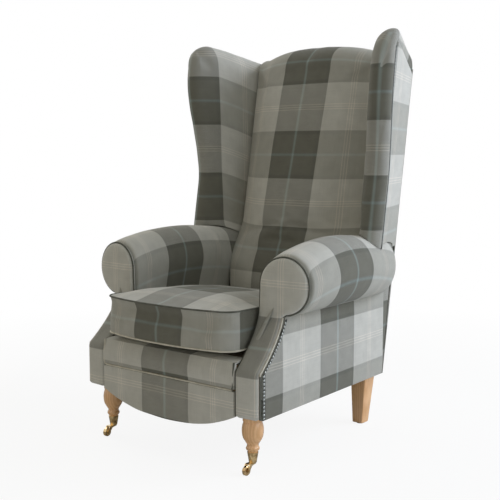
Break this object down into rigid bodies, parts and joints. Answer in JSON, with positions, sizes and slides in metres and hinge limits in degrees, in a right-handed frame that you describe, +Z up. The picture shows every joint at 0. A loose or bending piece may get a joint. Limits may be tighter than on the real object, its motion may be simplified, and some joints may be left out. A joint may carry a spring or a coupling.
{
  "type": "fireside chair",
  "caption": "Wing back armchair with a loose seat cushion, rolled arms, checked covers, turned front legs on castors and tapered rear legs.",
  "frame": {"origin": "on the floor, midway across and midway between the front of the seat cushion and the rear of the crest", "axes": "+Z up, -Y towards the sitter's front, X across the chair"},
  "size_m": [0.7922, 0.8512, 1.17],
  "materials": {
    "frame_timber": "sawn hardwood",
    "spring_steel": "drawn wire and plate",
    "webbing": "woven jute and rubber",
    "felt": "pressed felt with a deck cloth",
    "lining": "thin black cloth",
    "checked_wool": "brushed wool in a grey check",
    "pale_piping": "piping in the pale yarn",
    "dark_piping": "piping in the dark yarn",
    "zip": "coil zip on tape",
    "studs": "round headed trim studs",
    "beech": "clear lacquer",
    "glide": "moulded",
    "antique_brass": "polished and slightly aged"
  },
  "bodies": {
    "frame": {"front_rail": "frame_timber", "rear_rail": "frame_timber", "side_rail_left": "frame_timber", "side_rail_right": "frame_timber", "corner_blocks": "frame_timber", "arm_post_left": "frame_timber", "arm_post_right": "frame_timber", "arm_rail_left": "frame_timber", "arm_rail_right": "frame_timber", "back_post_left": "frame_timber", "back_post_right": "frame_timber", "crest_rail": "frame_timber", "back_rails": "frame_timber", "wing_frame_left": "frame_timber", "wing_frame_right": "frame_timber", "seat_springs": "spring_steel", "spring_clips": "spring_steel", "back_webbing": "webbing", "seat_deck": "felt", "dust_cover": "lining", "inside_back": "checked_wool", "outside_back": "checked_wool", "arm_pad_left": "checked_wool", "arm_pad_right": "checked_wool", "outside_arm_left": "checked_wool", "outside_arm_right": "checked_wool", "arm_facing_left": "checked_wool", "arm_facing_right": "checked_wool", "facing_piping_left": "dark_piping", "facing_piping_right": "dark_piping", "wing_pad_left": "checked_wool", "wing_pad_right": "checked_wool", "outside_wing_left": "checked_wool", "outside_wing_right": "checked_wool", "front_border": "checked_wool", "border_piping": "pale_piping", "front_apron": "checked_wool", "arm_studs_left": "studs", "arm_studs_right": "studs", "wing_studs_left": "studs", "wing_studs_right": "studs", "front_leg_left": "beech", "front_leg_right": "beech", "rear_leg_left": "beech", "rear_leg_right": "beech", "leg_bolts": "spring_steel", "foot_glides": "glide", "castor_cup_left": "antique_brass", "castor_cup_right": "antique_brass"},
    "cushion": {"seat_cushion": "checked_wool", "cushion_piping_top": "dark_piping", "cushion_piping_bottom": "pale_piping", "cushion_zip": "zip"},
    "castor_left": {"castor_horn_left": "antique_brass", "castor_axle_left": "antique_brass"},
    "wheel_left": {"castor_wheel_left": "antique_brass"},
    "castor_right": {"castor_horn_right": "antique_brass", "castor_axle_right": "antique_brass"},
    "wheel_right": {"castor_wheel_right": "antique_brass"}
  },
  "joints": [
    {"name": "cushion_pull", "type": "slide", "parent": "frame", "child": "cushion", "axis": [0, -1, 0], "range_m": [0, 0.3]},
    {"name": "castor_swivel_left", "type": "hinge", "parent": "frame", "child": "castor_left", "pos_m": [-0.26574, -0.34047, 0.03], "axis": [0, 0, 1], "continuous": true},
    {"name": "castor_wheel_left", "type": "hinge", "parent": "castor_left", "child": "wheel_left", "pos_m": [-0.26574, -0.36647, 0.0125], "axis": [1, 0, 0], "continuous": true},
    {"name": "castor_swivel_right", "type": "hinge", "parent": "frame", "child": "castor_right", "pos_m": [0.26574, -0.34047, 0.03], "axis": [0, 0, 1], "continuous": true},
    {"name": "castor_wheel_right", "type": "hinge", "parent": "castor_right", "child": "wheel_right", "pos_m": [0.26574, -0.36647, 0.0125], "axis": [1, 0, 0], "continuous": true}
  ]
}
